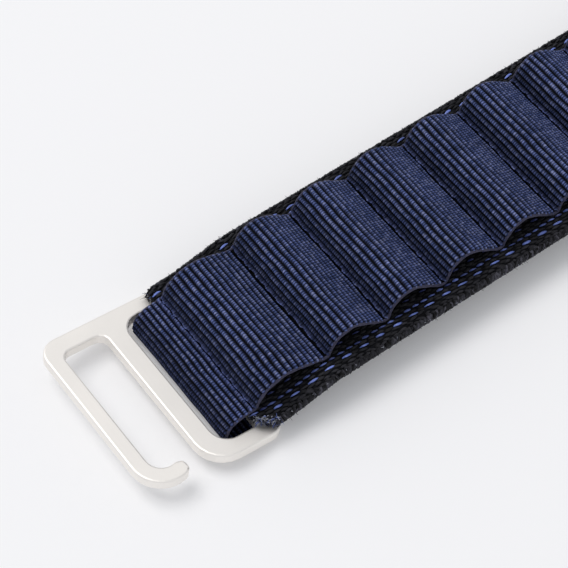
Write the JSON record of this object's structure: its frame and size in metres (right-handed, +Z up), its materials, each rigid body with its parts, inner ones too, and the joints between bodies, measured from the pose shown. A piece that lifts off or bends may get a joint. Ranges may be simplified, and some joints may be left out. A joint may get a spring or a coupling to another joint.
{
  "type": "fitness tracker band",
  "caption": "Flat woven wrist strap with a row of raised ribbon loops, a hinged metal G-hook at its free end and a latching end rail that slides into a tracker.",
  "frame": {"origin": "centre of the band's footprint, on the surface that it rests on", "axes": "+X along the strap from the hook to the tracker connector, +Y towards the side away from the hook's mouth, +Z up from the wrist side to the loops"},
  "size_m": [0.1164, 0.0246, 0.0091],
  "materials": {
    "ribbon": "navy ribbed grosgrain",
    "webbing": "black coarse woven webbing with blue thread rows",
    "thread": "navy blue sewing thread",
    "hook_metal": "satin, warm silver",
    "connector_metal": "satin, warm silver",
    "pin_steel": "turned, semi-bright",
    "spring_steel": "drawn wire"
  },
  "bodies": {
    "strap": {"base_webbing": "webbing", "ribbon_loop_01": "ribbon", "ribbon_loop_02": "ribbon", "ribbon_loop_03": "ribbon", "ribbon_loop_04": "ribbon", "ribbon_loop_05": "ribbon", "ribbon_loop_06": "ribbon", "ribbon_loop_07": "ribbon", "ribbon_loop_08": "ribbon", "ribbon_loop_09": "ribbon", "ribbon_loop_10": "ribbon", "hook_fold": "ribbon", "connector_fold": "ribbon", "tack_row_00": "thread", "tack_row_01": "thread", "tack_row_02": "thread", "tack_row_03": "thread", "tack_row_04": "thread", "tack_row_05": "thread", "tack_row_06": "thread", "tack_row_07": "thread", "tack_row_08": "thread", "tack_row_09": "thread", "tack_row_10": "thread", "hook_tab_stitch": "thread", "connector_tab_stitch": "thread"},
    "hook": {"hook_plate": "hook_metal"},
    "connector": {"connector_body": "connector_metal", "strap_pin": "pin_steel", "pin_screw_near": "pin_steel", "pin_screw_far": "pin_steel", "latch_cover": "connector_metal", "cover_screw_near": "pin_steel", "cover_screw_far": "pin_steel", "latch_spring_near": "spring_steel", "latch_spring_far": "spring_steel"},
    "latch": {"latch_button": "connector_metal"}
  },
  "joints": [
    {"name": "hook_swing", "type": "hinge", "parent": "strap", "child": "hook", "pos_m": [-0.04206, 0, 0.00145], "axis": [0, 1, 0], "range_deg": [-8, 40]},
    {"name": "connector_swing", "type": "hinge", "parent": "strap", "child": "connector", "pos_m": [0.05044, 0, 0.002], "axis": [0, -1, 0], "range_deg": [0, 75]},
    {"name": "latch_press", "type": "slide", "parent": "connector", "child": "latch", "axis": [0, 0, 1], "range_m": [-0.0005, 0], "stiffness_N_per_m": 600, "springref_m": 0.0003, "deforming": ["latch_spring_near", "latch_spring_far"]}
  ]
}
